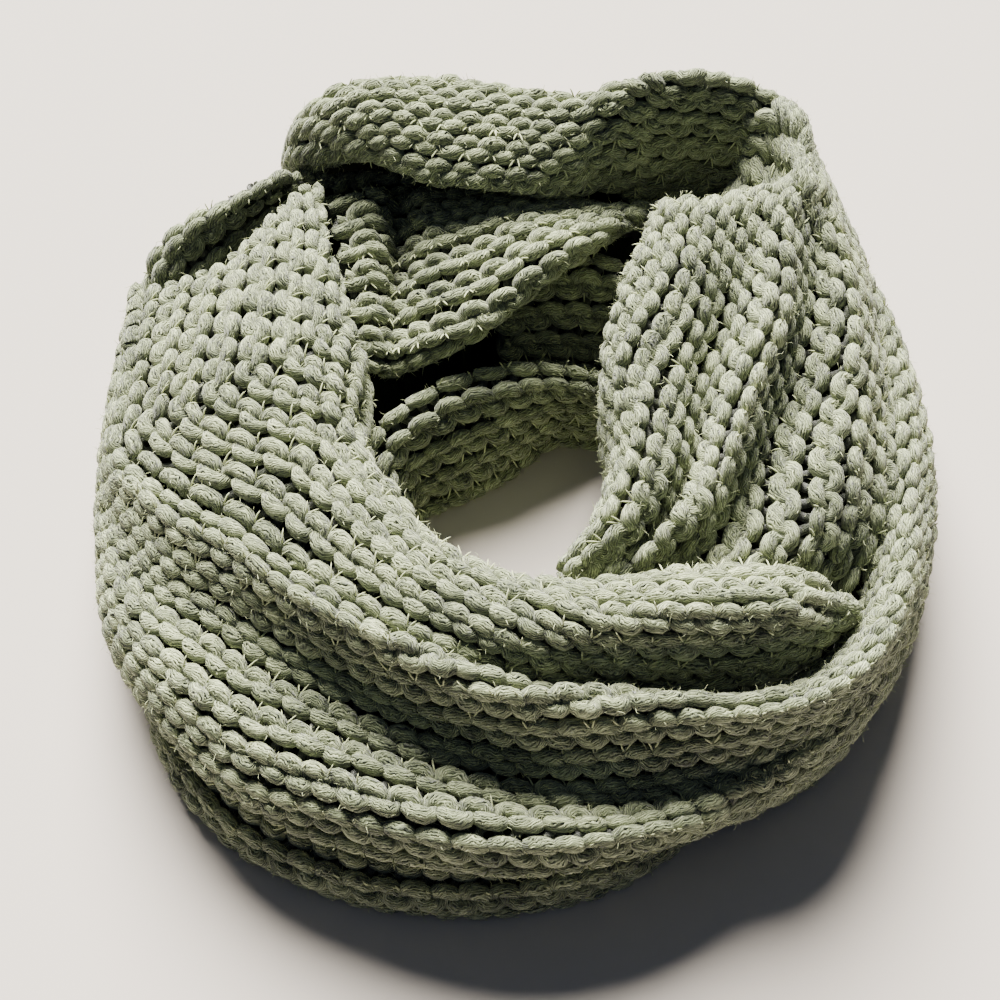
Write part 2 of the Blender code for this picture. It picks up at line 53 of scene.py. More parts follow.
# Every stretch: the solid that it dresses, its courses of knit, which edge they are held to (0 the inner
# one, 1 the outer one), how far its rows run on at its ends (as shares of its length), and the seed of
# its unevenness. Its form is a set of lines that follow the rows, from the side of the hole to the
# outside, or a table of sections.
stretches = {
    "inner_front": {
        "node": "inner_front_stretch",
        "courses": 6,
        "held": 1.0,
        "past": 0.035,  # its rows run on into the outer turn
        "seed": 11,
        "rails": {
            "innerFoot": [
                (121, 163, 63), (127, 134, 68), (132, 108, 68), (139, 90, 66), (145, 76, 62),
                (155, 66, 58), (169, 60, 52), (187, 60, 50), (210, 60, 50), (238, 64, 52), (260, 68, 54),
                (280, 74, 58), (298, 80, 72), (315, 92, 75), (326, 110, 74), (331, 126, 69),
                (333, 139, 60),
            ],
            "innerEdge": [
                (122, 165, 71), (128, 135, 77), (134, 109, 79), (141, 91, 80), (147, 79, 80),
                (157, 70, 78), (169, 66, 76), (187, 58, 76), (210, 53, 78), (238, 57, 80), (260, 61, 81),
                (280, 68, 82), (298, 76, 83), (315, 89, 83), (326, 107, 81), (331, 124, 76),
                (333, 138, 66),
            ],
            "innerCrest": [
                (130, 155, 76), (139, 134, 84), (152, 109, 88), (161, 98, 88), (170, 89, 88),
                (179, 82, 88), (188, 77, 87), (203, 71, 86), (221, 68, 86), (242, 71, 87), (259, 77, 88),
                (275, 84, 90), (290, 91, 91), (305, 102, 91), (318, 117, 88), (325, 131, 82),
                (331, 140, 66),
            ],
            "outerCrest": [
                (142, 153, 72), (152, 143, 75), (164, 129, 80), (172, 123, 80), (180, 114, 82),
                (188, 103, 84), (196, 94, 85), (210, 86, 86), (226, 82, 86), (244, 84, 86), (258, 88, 85),
                (271, 93, 84), (286, 97, 80), (302, 108, 76), (315, 124, 72), (324, 136, 68),
                (331, 142, 60),
            ],
            "groove": [
                (149, 181, 56), (157, 169, 60), (167, 160, 58), (175, 157, 57), (183, 142, 66),
                (191, 125, 74), (199, 111, 78), (213, 100, 80), (227, 96, 81), (244, 95, 81),
                (256, 95, 78), (267, 97, 73), (282, 101, 66), (299, 112, 58), (313, 128, 54),
                (323, 138, 52), (331, 143, 50),
            ],
        },
    },
    "outer_loop": {
        "node": "outer_loop_stretch",
        "courses": 9,
        "held": 0.0,
        "before": 0.008,  # its rows start a little ahead of its edge, over the rear wall
        "past": 0.03,  # and run on under the tall fold
        "seed": 12,
        "rails": {
            "innerEdge": [
                (149, 187, 56), (158, 171, 58), (168, 162, 56), (176, 159, 55), (184, 144, 64),
                (192, 127, 72), (200, 113, 76), (214, 103, 78), (228, 99, 79), (244, 98, 77),
                (256, 95, 70), (268, 98, 62), (283, 105, 54), (298, 116, 48), (311, 130, 45),
                (321, 140, 43), (330, 147, 43), (339, 148, 43), (350, 146, 46), (8, 151, 50),
                (24, 161, 50), (36, 173, 50), (46, 179, 50),
            ],
            "upperCrest": [
                (152, 182, 50), (164, 170, 53), (172, 165, 52), (178, 161, 55), (184, 150, 63),
                (194, 133, 73), (204, 118, 79), (215, 109, 82), (227, 104, 84), (242, 103, 84),
                (257, 105, 83), (271, 111, 81), (286, 117, 79), (298, 128, 77), (308, 143, 75),
                (317, 154, 71), (327, 159, 66), (337, 158, 62), (350, 156, 60), (8, 160, 58),
                (24, 171, 58), (36, 182, 57), (46, 187, 54),
            ],
            "valley": [
                (157, 178, 40), (170, 169, 44), (179, 164, 44), (185, 159, 47), (193, 152, 53),
                (201, 143, 58), (211, 131, 60), (220, 124, 58), (231, 119, 55), (246, 118, 52),
                (259, 122, 49), (273, 129, 46), (286, 138, 44), (297, 147, 43), (310, 154, 44),
                (321, 160, 47), (331, 163, 50), (341, 164, 51), (353, 165, 50), (8, 169, 50),
                (24, 177, 50), (36, 185, 50), (46, 189, 48),
            ],
            "lowerCrest": [
                (162, 176, 30), (177, 169, 32), (186, 167, 34), (191, 166, 39), (198, 165, 45),
                (208, 161, 52), (217, 156, 55), (226, 151, 57), (236, 149, 58), (246, 149, 58),
                (258, 151, 57), (271, 154, 55), (282, 157, 52), (293, 158, 48), (305, 159, 45),
                (318, 162, 43), (331, 165, 41), (342, 166, 40), (355, 169, 38), (8, 173, 38),
                (23, 181, 36), (35, 188, 36), (46, 191, 36),
            ],
            "outerSide": [
                (168, 174, 16), (184, 169, 18), (193, 168, 18), (199, 169, 25), (206, 169, 34),
                (215, 168, 38), (223, 168, 39), (231, 167, 40), (239, 165, 40), (249, 162, 40),
                (259, 161, 40), (271, 161, 38), (282, 159, 36), (293, 158, 33), (305, 160, 28),
                (318, 164, 25), (331, 166, 24), (342, 168, 22), (355, 170, 20), (8, 174, 20),
                (23, 182, 18), (35, 188, 18), (46, 191, 18),
            ],
            "outerFoot": [
                (173, 168, 0), (190, 166, 0), (199, 165, 0), (205, 162, 17), (212, 160, 25),
                (221, 160, 26), (229, 160, 26), (237, 158, 26), (244, 156, 26), (252, 154, 26),
                (261, 152, 25), (271, 151, 24), (282, 150, 22), (293, 151, 18), (305, 154, 9),
                (318, 160, 0), (331, 162, 0), (342, 164, 0), (355, 167, 0), (8, 171, 0), (23, 178, 0),
                (35, 184, 0), (46, 187, 0),
            ],
        },
    },
    "right": {
        "node": "right_stretch",
        "courses": 13,
        "held": 0.5,
        "seed": 13,
        "rails": {
            "innerFoot": [
                (56, 181, 34), (61, 131, 60), (60, 127, 72), (58, 112, 62), (57, 93, 52), (54, 78, 40),
                (49, 63, 30), (36, 50, 18), (15, 46, 8), (354, 45, 4), (333, 44, 4), (316, 45, 4),
                (303, 46, 4), (291, 49, 8),
            ],
            "innerEdge": [
                (56, 181, 46), (61, 131, 76), (59, 125, 95), (58, 109, 91), (57, 92, 89), (54, 78, 87),
                (49, 63, 85), (36, 50, 83), (15, 44, 80), (354, 43, 77), (333, 43, 73), (316, 46, 69),
                (303, 49, 64), (291, 51, 58),
            ],
            "innerCrest": [
                (56, 182, 58), (54, 137, 80), (53, 131, 98), (49, 113, 98), (44, 94, 97), (37, 77, 96),
                (25, 64, 95), (8, 58, 93), (350, 57, 91), (335, 58, 88), (323, 59, 84), (310, 59, 79),
                (299, 58, 72), (290, 58, 64),
            ],
            "firstCrease": [
                (56, 183, 70), (51, 150, 80), (49, 144, 97), (43, 130, 91), (37, 115, 85), (30, 100, 80),
                (21, 86, 77), (10, 77, 76), (358, 72, 75), (346, 69, 74), (333, 67, 72), (319, 64, 69),
                (306, 61, 66), (295, 60, 60),
            ],
            "middleCrest": [
                (56, 184, 82), (49, 161, 82), (46, 154, 99), (39, 142, 98), (31, 126, 97), (23, 111, 96),
                (15, 99, 94), (5, 90, 92), (355, 85, 90), (345, 81, 87), (334, 77, 84), (323, 73, 79),
                (311, 69, 73), (301, 65, 64),
            ],
            "secondCrease": [
                (56, 187, 94), (48, 172, 86), (44, 164, 99), (38, 157, 88), (31, 142, 81), (24, 128, 76),
                (16, 117, 73), (8, 107, 71), (359, 99, 70), (349, 93, 69), (339, 88, 67), (329, 83, 65),
                (319, 76, 63), (307, 70, 59),
            ],
            "outerCrest": [
                (56, 192, 101), (50, 182, 98), (44, 170, 101), (37, 165, 92), (29, 156, 87),
                (21, 147, 85), (12, 138, 83), (4, 132, 81), (356, 126, 80), (347, 121, 77),
                (338, 114, 73), (331, 106, 68), (323, 97, 62), (315, 86, 56),
            ],
            "outerEdge": [
                (56, 197, 90), (52, 196, 98), (46, 184, 92), (38, 178, 77), (31, 173, 68), (25, 165, 64),
                (16, 157, 64), (8, 151, 64), (1, 149, 64), (354, 147, 62), (347, 142, 58), (339, 136, 51),
                (332, 125, 46), (326, 110, 43),
            ],
            "outerFoot": [
                (56, 198, 2), (52, 197, 4), (46, 186, 64), (38, 180, 70), (31, 174, 63), (25, 166, 59),
                (16, 158, 59), (8, 152, 59), (1, 150, 59), (354, 147, 58), (347, 143, 53), (339, 137, 46),
                (332, 126, 42), (326, 111, 39),
            ],
        },
    },
    "back_roll": {
        "node": "back_roll_and_hood",
        "then": "right",  # one cloth with it
        "courses": 14,
        "held": 0.5,
        "seed": 14,
        "sections": [
            (123, 185, 42, 120, 199, 44, 6, 14, -2, 42, -4),
            (122, 183, 62, 118, 200, 66, 12, 14, -3, 64, -4),
            (118, 171, 77, 113, 199, 82, 12, 12, -8, 80, -6),
            (112, 155, 84, 107, 193, 90, 12, 9, -8, 88, -6),
            (105, 135, 85, 99, 187, 94, 10, 8, -8, 92, -6),
            (92, 125, 86, 90, 178, 96, 8, 8, -8, 94, 0),
            (81, 131, 84, 80, 168, 104, 5, 14, -6, 102, 10),
            (74, 149, 78, 74, 173, 111, 6, 18, -3, 110, 12),
            (68, 167, 66, 68, 182, 115, 8, 28, 0, 112, 10),
            (63, 177, 62, 63, 190, 115, 9, 28, 0, 112, 6),
            (57.6, 182, 65, 57.4, 196, 109, 9, 30, 0, 107, 2),
        ],
    },
    "rear_wall": {
        "node": "rear_wall_stretch",
        "courses": 7,
        "held": 0.4,
        "seed": 15,
        "sections": [
            (169, 160, 7, 169, 169, 7, 1, 6, 2, 7, -2),
            (163, 163, 19, 163, 174, 19, 1, 6, 2, 19, -2),
            (156, 165, 30, 156, 178, 32, 1, 6, 2, 32, -3),
            (150, 166, 42, 150, 184, 46, 1, 8, 2, 46, -4),
            (144, 165, 46, 145, 189, 66, 0, 8, 2, 66, -3),
            (139, 164, 46, 140, 185, 77, 0, 8, 2, 77, -1),
            (133, 166, 46, 134, 178, 81, 0, 8, 2, 81, 2),
            (125, 171, 45, 125, 177, 76, 0, 8, 2, 76, 2),
            (118, 171, 42, 118, 175, 62, 0, 8, 2, 62, 2),
            (108, 165, 40, 108, 171, 56, 0, 6, 4, 56, 1),
            (95, 152, 38, 95, 163, 52, 0, 6, 4, 52, 1),
            (82, 150, 34, 82, 160, 46, 0, 6, 4, 46, 1),
            (72, 150, 32, 72, 158, 42, 0, 6, 4, 42, 0),
        ],
    },
    "crossing": {
        "node": "crossing_stretch",
        "courses": 6,
        "held": 0.6,
        "seed": 16,
        "sections": [
            (62, 148, 59, 66, 158, 46, 3, 5, -1, 2, 0),
            (66, 137, 66, 74, 146, 49, 4, 8, -4, 2, 0),
            (70, 112, 77, 83, 142, 57, 5, 12, -6, 2, 0),
            (80, 85, 80, 93, 143, 61, 6, 16, -8, 2, 0),
            (92, 67, 76, 98, 144, 60, 6, 16, -10, 2, 0),
            (106, 61, 70, 102, 148, 58, 5, 14, -10, 2, 0),
            (122, 63, 63, 105, 152, 57, 4, 14, -10, 2, 0),
            (132, 74, 52, 109, 158, 47, -4, 12, -8, 2, 0),
            (136, 79, 54, 113, 157, 62, 4, 8, -4, 2, 0),
            (140, 84, 54, 121, 156, 61, 2, 4, -2, 2, 0),
        ],
    },
    "inner_back": {
        "node": "inner_back_stretch",
        "courses": 5,
        "held": 0.5,
        "seed": 17,
        "sections": [
            (46, 106, 48, 46, 116, 52, 0, 44, 22, 2, 0),
            (56, 110, 50, 56, 120, 54, 0, 46, 32, 2, 0),
            (68, 106, 52, 68, 118, 56, 0, 48, 32, 2, 0),
            (80, 98, 52, 80, 112, 56, 0, 48, 24, 2, 0),
            (94, 90, 50, 94, 106, 54, 0, 46, 16, 2, 0),
        ],
    },
    "inner_left": {
        "node": "inner_left_stretch",
        "courses": 4,
        "held": 0.5,
        "seed": 18,
        "sections": [
            (48, 73, 19, 48, 80, 21, 0, 19, 3, 2, 0),
            (60, 65, 32, 60, 73, 33, 0, 32, 5, 2, 0),
            (72, 56, 40, 70, 66, 42, 0, 40, 4, 2, 0),
            (92, 46, 46, 92, 58, 48, 0, 46, 12, 2, 0),
            (126, 46, 47, 126, 58, 48, 0, 47, 18, 2, 0),
            (160, 53, 42, 160, 64, 43, 0, 42, 13, 2, 0),
            (195, 50, 40, 195, 62, 41, 0, 40, 7, 2, 0),
            (230, 54, 36, 230, 68, 37, 0, 36, 4, 2, 0),
            (258, 60, 34, 258, 72, 35, 0, 34, 2, 2, 0),
            (280, 66, 34, 280, 78, 35, 0, 34, 2, 2, 0),
        ],
    },
    "lower_front": {
        "node": "lower_front_stretch",
        "courses": 3,
        "held": 0.5,
        "seed": 19,
        "sections": [
            (206, 148, 14, 206, 162, 9, 2, 4, 2, 8, -2),
            (216, 152, 17, 216, 171, 12, 2, 4, 2, 12, -2),
            (232, 154, 18, 232, 175, 13, 3, 4, 2, 13, -2),
            (250, 148, 18, 250, 171, 13, 3, 4, 2, 13, -2),
            (268, 142, 18, 268, 165, 13, 3, 4, 2, 13, -2),
            (286, 140, 16, 286, 158, 12, 2, 4, 2, 12, -2),
            (300, 136, 14, 300, 149, 9, 2, 4, 2, 9, -2),
        ],
    },
}


def place(turn, reach, height):
    angle = math.radians(turn)
    return np.array([reach * math.cos(angle), reach * math.sin(angle), height])


def unit(vectors):
    return vectors / np.linalg.norm(vectors, axis=-1, keepdims=True)


def controlPoints(section):
    # foot, inner edge, crown, outer edge, foot
    size = dict(zip(sectionColumns, section))
    inner = place(size["turnIn"], size["reachIn"], size["heightIn"])
    outer = place(size["turnOut"], size["reachOut"], size["heightOut"])
    across = (outer - inner) * (1, 1, 0)
    across /= np.linalg.norm(across)
    innerFoot = inner - across * size["splayIn"] - (0, 0, size["dropIn"])
    outerFoot = outer + across * size["splayOut"] - (0, 0, size["dropOut"])
    crown = (inner + outer) / 2 + (0, 0, size["crown"])
    return [innerFoot, inner, crown, outer, outerFoot]


def smooth(net):
    # a curve through every point of the first axis
    padded = np.concatenate([2 * net[:1] - net[1:2], net, 2 * net[-1:] - net[-2:-1]])
    lines = []
    for i in range(len(net) - 1):
        a, b, c, d = padded[i:i + 4]
        for t in np.arange(turnSteps) / turnSteps:
            bend = 2 * a - 5 * b + 4 * c - d + t * (3 * b - a - 3 * c + d)
            lines.append(b + 0.5 * t * (c - a + t * bend))
    lines.append(net[-1])
    return np.array(lines)


def roundAcross(net):
    # a corner is cut off a quarter of the way along its sides
    for _ in range(cornerCuts):
        near = 0.75 * net[:, :-1] + 0.25 * net[:, 1:]
        far = 0.25 * net[:, :-1] + 0.75 * net[:, 1:]
        middle = np.stack([near, far], axis=2).reshape(len(net), -1, 3)
        net = np.concatenate([net[:, :1], middle, net[:, -1:]], axis=1)
    return net


def spread(line, count):
    # points at even steps along a line
    gone = np.concatenate([[0.0], np.cumsum(np.linalg.norm(np.diff(line, axis=0), axis=1))])
    wanted = np.linspace(0.0, gone[-1], count)
    return np.stack([np.interp(wanted, gone, line[:, k]) for k in range(3)], axis=1)


def outward(surface):
    # the way out of the heap at each point of a cloth
    normal = unit(np.cross(np.gradient(surface, axis=0), np.gradient(surface, axis=1)))
    return normal if normal[:, normal.shape[1] // 2, 2].mean() > 0 else -normal


def clothLines(stretch, across):
    if "rails" in stretch:
        net = np.array([[place(*spot) for spot in rail] for rail in stretch["rails"].values()])
        lines = smooth(smooth(net.transpose(1, 0, 2)).transpose(1, 0, 2)).transpose(1, 0, 2)
    else:
        lines = roundAcross(smooth(np.array([controlPoints(section) for section in stretch["sections"]])))
    lines = np.array([spread(line, across) for line in lines])
    if "then" in stretch:
        lines = np.concatenate([lines, clothLines(stretches[stretch["then"]], across)])
    return lines


def clothSurface(stretch, stations, across):
    # the middle of the cloth as a grid, stations along by points across, and the way out at each point
    lines = clothLines(stretch, across)
    steps = np.linalg.norm(np.diff(lines.mean(axis=1), axis=0), axis=1)
    gone = np.concatenate([[0.0], np.cumsum(steps)])
    wanted = np.linspace(0.0, gone[-1], stations)
    surface = np.empty((stations, across, 3))
    for j in range(across):
        for k in range(3):
            surface[:, j, k] = np.interp(wanted, gone, lines[:, j, k])
    return surface, outward(surface)


def toModel(points):
    points = np.array(points)
    points[..., 2] = np.maximum(points[..., 2], 0.0)  # it lies flat where it rests
    return (points + (*ringShift, 0.0)) * mm


def sampled(grid, u, v):
    # a grid's value at shares u along and v across, straight on past the edges
    rows, columns = grid.shape[:2]
    i = np.clip(np.floor(u * (rows - 1)).astype(int), 0, rows - 2)
    j = np.clip(np.floor(v * (columns - 1)).astype(int), 0, columns - 2)
    a = (u * (rows - 1) - i)[..., None]
    b = (v * (columns - 1) - j)[..., None]
    near = grid[i, j] * (1 - b) + grid[i, j + 1] * b
    far = grid[i + 1, j] * (1 - b) + grid[i + 1, j + 1] * b
    return near * (1 - a) + far * a


def wavering(rng, rows, knots, points, amount):
    # a smooth random line for each row
    values = rng.uniform(-amount, amount, (rows, knots))
    at = np.linspace(0, knots - 1, points)
    return np.array([np.interp(at, np.arange(knots), row) for row in values])


def newObject(name, data):
    made = bpy.data.objects.new(name, data)
    bpy.context.scene.collection.objects.link(made)
    return made


def newPiece(name, points, faces, material):
    mesh = bpy.data.meshes.new(name)
    mesh.from_pydata(points, [], faces)
    mesh.shade_smooth()
    mesh.materials.append(material)
    piece = newObject(name, mesh)
    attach(piece, "root")
    return piece


# A Wire is one output socket of a shader node, and arithmetic on it adds Math nodes.
class Wire:
    def __init__(self, finish, socket):
        self.finish = finish
        self.socket = socket

    def math(self, operation, *others):
        return self.finish.maths(operation, self, *others)

    def beside(self, out):
        # another output of the same node
        return Wire(self.finish, self.socket.node.outputs[out])

    def __add__(self, other):
        return self.math("ADD", other)

    def __mul__(self, other):
        return self.math("MULTIPLY", other)

    def __sub__(self, other):
        return self.math("SUBTRACT", other)

    def __rsub__(self, other):
        return self.finish.maths("SUBTRACT", other, self)

    __radd__ = __add__
    __rmul__ = __mul__


# A Finish is one material on the Principled shader, with the methods that add its nodes.
class Finish:
    def __init__(self, name, **constants):
        self.material = bpy.data.materials.new(name)
        self.material.use_nodes = True
        self.tree = self.material.node_tree
        self.shader = self.tree.nodes["Principled BSDF"]
        for socket, value in constants.items():
            self.shader.inputs[socket.replace("_", " ")].default_value = value

    def add(self, kind, settings=None, sockets=None, out=0):
        node = self.tree.nodes.new(kind)
        for key, value in (settings or {}).items():
            if key == "stops":
                elements = node.color_ramp.elements
                while len(elements) < len(value):
                    elements.new(1.0)
                for element, (position, colour) in zip(elements, value):
                    element.position = position
                    element.color = colour
            else:
                setattr(node, key, value)
        for socket, value in (sockets or {}).items():
            self.feed(node.inputs[socket], value)
        return Wire(self, node.outputs[out])

    def feed(self, socket, value):
        if isinstance(value, Wire):
            self.tree.links.new(value.socket, socket)
        else:
            socket.default_value = value

    def maths(self, operation, *parts):
        return self.add("ShaderNodeMath", {"operation": operation}, dict(enumerate(parts)))

    def noise(self, where, scale, detail=1.0, rough=0.5):
        return self.add("ShaderNodeTexNoise", None, {"Vector": where, "Scale": scale, "Detail": detail,
                                                     "Roughness": rough})

    def bump(self, height, strength, distance):
        return self.add("ShaderNodeBump", None, {"Strength": strength, "Distance": distance,
                                                 "Height": height})

    def mix(self, share, a, b):
        return self.add("ShaderNodeMix", {"data_type": "RGBA"}, {0: share, 6: a, 7: b}, out=2)

    def surface(self, **sockets):
        for socket, value in sockets.items():
            self.feed(self.shader.inputs[socket.replace("_", " ")], value)


yarnValues = {
    # strand colours: light is a painted highlight on the strands' crests, groove is painted shade between
    # them, middle is the yarn's own colour
    "light": (0.78, 0.835, 0.51, 1.0),
    "middle": (0.26, 0.295, 0.17, 1.0),
    "groove": (0.045, 0.054, 0.036, 1.0),
    "paintedRowShade": (0.014, 0.018, 0.016, 1.0),  # painted shade between the rows, down the legs of the loops
    "stops": (0.15, 0.48, 0.90),  # where groove (painted shade), middle and light (painted highlight) stand
    "roughness": 0.92,
    "sheen": 0.3,
    "sheenRoughness": 0.5,
    "shine": 0.12,
    "strands": 17.0,  # round the yarn
    "leastTwist": 0.008,  # turns of the strands in 1 mm along the yarn
    "moreTwist": 0.026,
    "wander": ((170.0, 0.22), (560.0, 0.08)),  # noise scales, and how far they push a strand, in turns
    "drawnOut": 0.30,  # how short the fibres are along the yarn
    "loopShift": 40.0,  # so that no two loops have the same fibres
    "thickFibres": (0.8, 2.0, 0.6),  # noise scale, detail and roughness
    "thinFibres": (2.4, 2.0, 0.7),
    "blotches": (24.0, 2.0),
    "waveHeight": 0.32,
    "thickHeight": 1.15,
    "thinHeight": 0.85,
    "lowered": 0.23,
    "paintedStrandShading": 0.85,
    "blotchTone": 0.35,
    "loopTone": 0.15,
    "lightGain": 1.6,  # how soon a loop comes out of the painted shade between rows
    # the least share of the yarn's colour over the painted shade, at the foot of a leg
    "leastLight": 0.15,
    "hairHeight": 0.0013,
}


def yarnFinish(values):
    finish = Finish("sageYarn", Roughness=values["roughness"], Sheen_Weight=values["sheen"],
                    Sheen_Roughness=values["sheenRoughness"], Specular_IOR_Level=values["shine"])
    uv = finish.add("ShaderNodeUVMap", {"uv_map": "yarn"})
    along = finish.add("ShaderNodeSeparateXYZ", None, {0: uv})
    around = along.beside(1)
    tone = finish.add("ShaderNodeAttribute", {"attribute_name": "tone"}, out=2)
    bump = finish.add("ShaderNodeAttribute", {"attribute_name": "bump"}, out=2)
    where = finish.add("ShaderNodeNewGeometry")

    # the strands run round the yarn as a screw, steeper on some loops than on others, and wander
    screw = around + along * (tone * values["moreTwist"] + values["leastTwist"])
    for scale, push in values["wander"]:
        screw = screw + (finish.noise(where, scale) - 0.5) * push
    wave = (screw * (2 * math.pi * values["strands"])).math("COSINE") * 0.5 + 0.5
    fibres = finish.add("ShaderNodeCombineXYZ", None, {
        0: along * values["drawnOut"], 1: screw * values["strands"], 2: tone * values["loopShift"]})
    thick = finish.noise(fibres, *values["thickFibres"])
    thin = finish.noise(fibres, *values["thinFibres"])
    strand = wave * values["waveHeight"] + thick * values["thickHeight"]
    strand = strand + (thin - 0.5) * values["thinHeight"] - values["lowered"]

    blotch = finish.noise(where, *values["blotches"])
    # painted light: high places on the strands are coloured light and the grooves dark, shifted by random
    # blotches and a random tone for each loop
    paintedLightAndTone = strand * values["paintedStrandShading"] + (blotch - 0.5) * values["blotchTone"]
    paintedLightAndTone = paintedLightAndTone + (tone - 0.5) * values["loopTone"]
    colours = (values["groove"], values["middle"], values["light"])
    colour = finish.add("ShaderNodeValToRGB", {"stops": list(zip(values["stops"], colours))}, {0: paintedLightAndTone})
    # painted shade between the rows: the colour goes to near black down the legs of the loops, as the
    # bump attribute falls
    shown = (bump * values["lightGain"] + values["leastLight"]).math("MINIMUM", 1.0)
    finish.surface(Base_Color=finish.mix(shown, values["paintedRowShade"], colour),
                   Normal=finish.bump(strand, 1.0, values["hairHeight"]))
    return finish.material


groundValues = {
    # painted shade: the cloth behind the loops is near black, with slightly lighter flecks, for the shade
    # that falls between the loops
    "colour": (0.011, 0.014, 0.011, 1.0),
    "fleck": (0.030, 0.035, 0.023, 1.0),
    "roughness": 1.0,
    "shine": 0.05,
    "grain": (420.0, 3.0),  # noise scale and detail
    "grainBump": (0.8, 0.0008),  # strength, and height in metres
    "stations": 64,
    "across": 26,
    "depth": 4.2,  # under the middle of the cloth
    "thickness": 1.0,
    "coreInside": 3.0,
}


def groundFinish(values):
    # the cloth behind the loops, coloured in painted shade
    finish = Finish("yarnBehindPaintedShade", Roughness=values["roughness"], Specular_IOR_Level=values["shine"])
    where = finish.add("ShaderNodeNewGeometry")
    grain = finish.noise(where, *values["grain"])
    finish.surface(Base_Color=finish.mix(grain, values["colour"], values["fleck"]),
                   Normal=finish.bump(grain, *values["grainBump"]))
    return finish.material


yarnMaterial = yarnFinish(yarnValues)
groundMaterial = groundFinish(groundValues)
print("finishes made")


def gridFaces(rows, columns):
    i, j = np.meshgrid(np.arange(rows - 1), np.arange(columns - 1), indexing="ij")
    corner = (i * columns + j).ravel()
    return np.stack([corner, corner + columns, corner + columns + 1, corner + 1], axis=1)


def flatSize(surface):
    # width and length in metres of the flat cloth that makes a surface
    wide = np.linalg.norm(np.diff(surface, axis=1), axis=2).sum(axis=1)
    long = np.linalg.norm(np.diff(surface, axis=0), axis=2).sum(axis=0)
    return round(wide.mean() * mm, 3), round(long.mean() * mm, 3)


def makeGround(name, stretch, values):
    # the cloth behind the loops, one sheet for each stretch, in near-black painted shade
    surface, normal = clothSurface(stretch, values["stations"], values["across"])
    surface, normal = surface[1:-1], normal[1:-1]  # the loops run on a little past it
    points = toModel(surface - normal * values["depth"]).reshape(-1, 3)
    faces = gridFaces(len(surface), values["across"])
    if np.cross(surface[1, 0] - surface[0, 0], surface[1, 1] - surface[1, 0]) @ normal[0, 0] < 0:
        faces = faces[:, ::-1]
    piece = newPiece(name + "_cloth", points, faces.tolist(), groundMaterial)
    shell = piece.modifiers.new("shell", "SOLIDIFY")
    shell.thickness = values["thickness"] * mm
    shell.offset = -1.0
    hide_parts(stretch["node"])
    if "then" in stretch:
        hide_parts(stretches[stretch["then"]]["node"])
    return piece, points, faces, flatSize(surface)


def makeCore(values):
    # the hidden layers, in the near-black painted shade of the cloth behind the loops, a little inside
    # the form of their solid
    solid = bpy.data.objects["hidden_layers"]
    points = [solid.matrix_world @ vertex.co - vertex.normal * values["coreInside"] * mm
              for vertex in solid.data.vertices]
    faces = [list(polygon.vertices) for polygon in solid.data.polygons]
    points = [(x, y, max(z, 0.0)) for x, y, z in points]
    piece = newPiece("hidden_layers_cloth", points, faces, groundMaterial)
    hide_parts("hidden_layers")


makeCore(groundValues)

grounds = {}
flats = {}
shellPoints = []
shellFaces = []
pointCount = 0
joined = [stretch["then"] for stretch in stretches.values() if "then" in stretch]
sheets = {name: stretch for name, stretch in stretches.items() if name not in joined}
for name, stretch in sheets.items():
    grounds[name], points, faces, flats[name] = makeGround(name, stretch, groundValues)
    shellPoints.append(points)
    shellFaces.append(faces + pointCount)
    pointCount += len(points)
shells = BVHTree.FromPolygons(np.concatenate(shellPoints).tolist(), np.concatenate(shellFaces).tolist())
print("cloth laid:", len(grounds), "sheets")


# Lines of sight tell which loops show.
sight = {
    "rings": (4, 22, 40, 58, 76),  # heights of the lines, in degrees
    "perRing": 14,
    "facing": -0.25,  # least cosine between a line and the way out of the cloth
    "lift": 5.0,  # how far over the middle of the yarn a line starts
    "every": 4,  # points along the yarn from one try to the next
}


def sightLines(values):
    lines = []
    for k, height in enumerate(values["rings"]):
        up = math.radians(height)
        level = math.cos(up)
        for n in range(values["perRing"]):
            turn = 2 * math.pi * (n + 0.5 * (k % 2)) / values["perRing"]
            lines.append(Vector((math.cos(turn) * level, math.sin(turn) * level, math.sin(up))))
    return lines


lookAlong = sightLines(sight)


def inSight(point, along):
    # a loop shows if some line of sight leaves it past all of the cloth
    start = Vector(point)
    side = Vector(along)
    for line in lookAlong:
        if line.dot(side) > sight["facing"] and shells.ray_cast(start, line)[0] is None:
            return True
    return False


# The knit is the purl side: each course of loops shows two lines of bumps, heads and feet, half a stitch
# apart.
knit = {
    "stitchLength": 11.0,
    "pitchLeast": 10.4,  # from one course to the next
    "pitchMost": 16.0,
    "loopReach": 0.735,  # half a loop's height, as a share of the pitch
    "flatTop": 0.08,
    "loopSpread": 2.9,  # how far heads and feet spread along the row
    "slant": 0.75,
    "rise": 2.1,  # of the bumps over the legs, up and down
    "dip": 1.6,  # how narrow the way down is
    "sink": -1.3,
    "bumpRadius": 3.4,
    "legRadius": 1.95,
    "swell": 0.7,  # how soon the yarn is thick again past a leg
    "flatten": 0.94,  # a bump's height over its width
    "steps": 20,  # along one stitch
    "sides": 8,
    "wander": 0.55,
    "heave": 0.7,
    "sizeSpread": 0.11,
    "lumps": 0.05,  # small thick and thin places along the yarn
    "lumpKnots": 7,  # of them to a stitch
    "spareCourses": 6,  # tried past each edge, for a place where the cloth is wider
    "spareStitches": 2,  # tried past the end
    "endSpare": 0.004,  # share of the length left bare at each end
    "edgeSpare": 1.5,
    "edgeLight": 4.0,  # width of the edge strip left out of the painted shade between rows, as no row lies past it
    "stations": 320,
    "across": 140,
}


